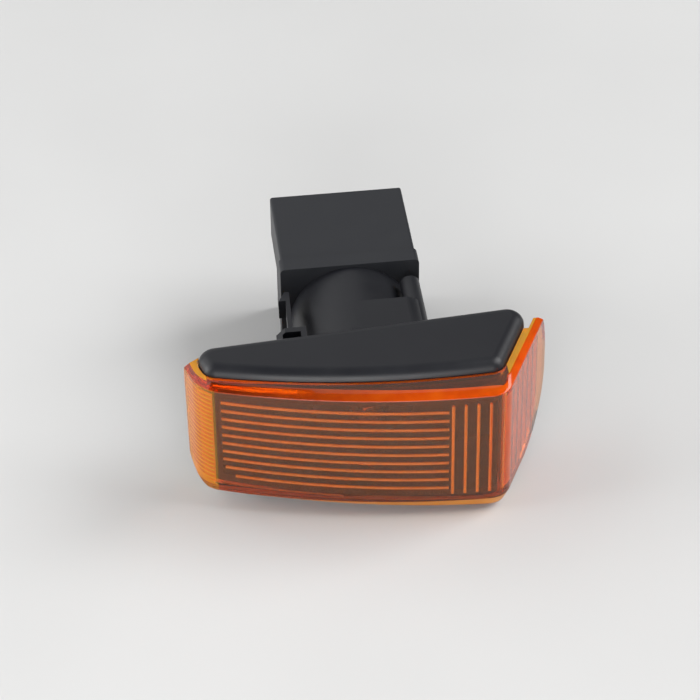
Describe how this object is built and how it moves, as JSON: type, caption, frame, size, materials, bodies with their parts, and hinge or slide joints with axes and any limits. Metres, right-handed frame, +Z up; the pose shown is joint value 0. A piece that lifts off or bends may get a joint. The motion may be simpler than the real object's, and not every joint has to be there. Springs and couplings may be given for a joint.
{
  "type": "side repeater lamp",
  "caption": "Car side repeater lamp: a fluted amber lens wrapped round a black moulded housing, with a neck, locating pin, snap finger and a plug-in bulb holder that ends in a connector box.",
  "frame": {"origin": "on the neck's axis where the neck meets the housing's mounting face", "axes": "+X along the lamp to its deep end, +Y along the neck into the car, +Z up"},
  "size_m": [0.0762, 0.0744, 0.0346],
  "materials": {
    "amber_lens": "clear amber, polished outside",
    "black_plastic": "satin, fine moulded grain",
    "holder_plastic": "satin, fine moulded grain",
    "seal_rubber": "matt",
    "bulb_glass": "clear",
    "lead_wire": "drawn wire",
    "filament_wire": "drawn tungsten",
    "contact_brass": "stamped strip"
  },
  "bodies": {
    "root": {"lens": "amber_lens", "housing": "black_plastic", "bulb_holder": "holder_plastic", "holder_seal": "seal_rubber", "bulb_glass": "bulb_glass", "bulb_leads": "lead_wire", "bulb_filament": "filament_wire", "contact_right": "contact_brass", "contact_left": "contact_brass"}
  },
  "joints": []
}
